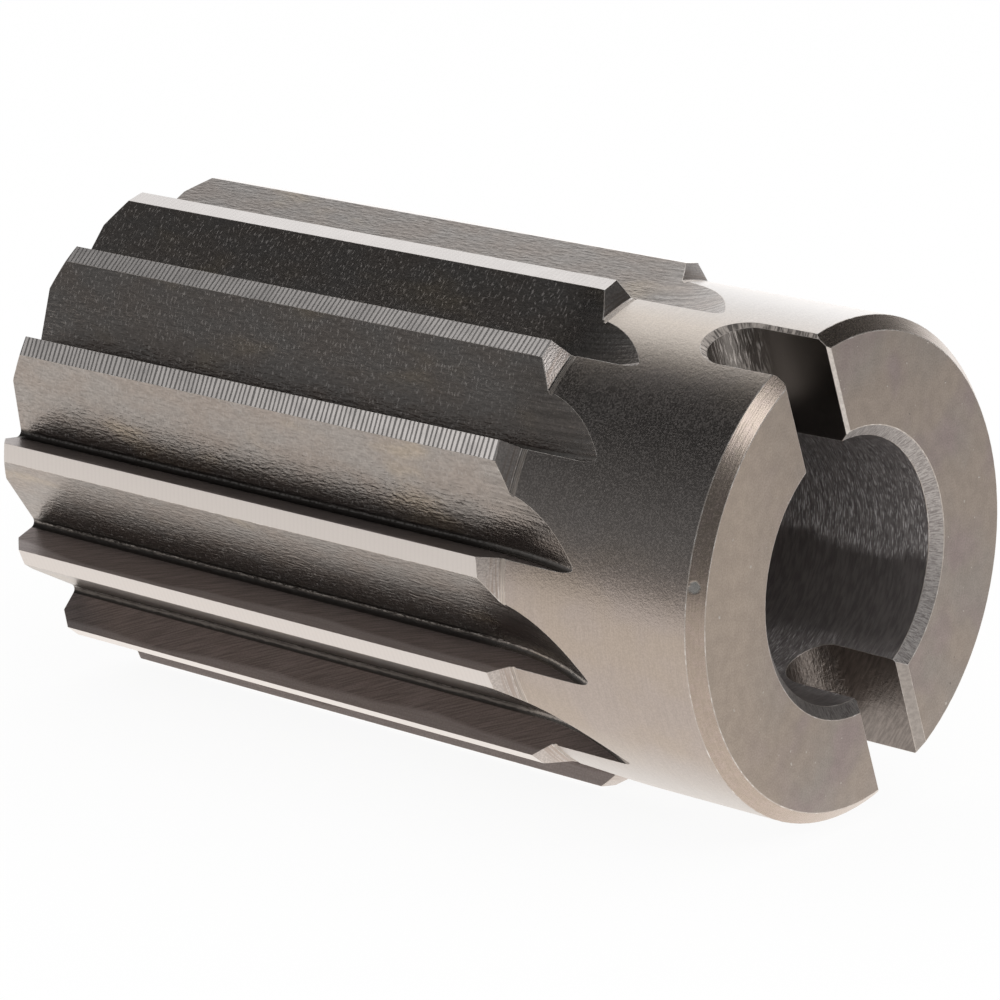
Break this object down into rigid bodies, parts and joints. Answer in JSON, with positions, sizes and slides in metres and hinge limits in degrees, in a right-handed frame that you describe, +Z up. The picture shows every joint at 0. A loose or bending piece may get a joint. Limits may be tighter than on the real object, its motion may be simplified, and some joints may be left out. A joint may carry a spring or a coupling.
{
  "type": "shell reamer",
  "caption": "Hollow cylindrical cutting tool with straight flutes, a tapered bore and a slotted drive end.",
  "frame": {"origin": "centre of the slotted drive end face, on the axis of the tapered bore", "axes": "+X along the bore out of the slotted drive end, +Z up as the tool lies on two of its teeth"},
  "size_m": [0.0453, 0.0258, 0.0254],
  "materials": {
    "tool_steel": "ground and milled high-speed steel"
  },
  "bodies": {
    "root": {"shell_reamer": "tool_steel"}
  },
  "joints": []
}
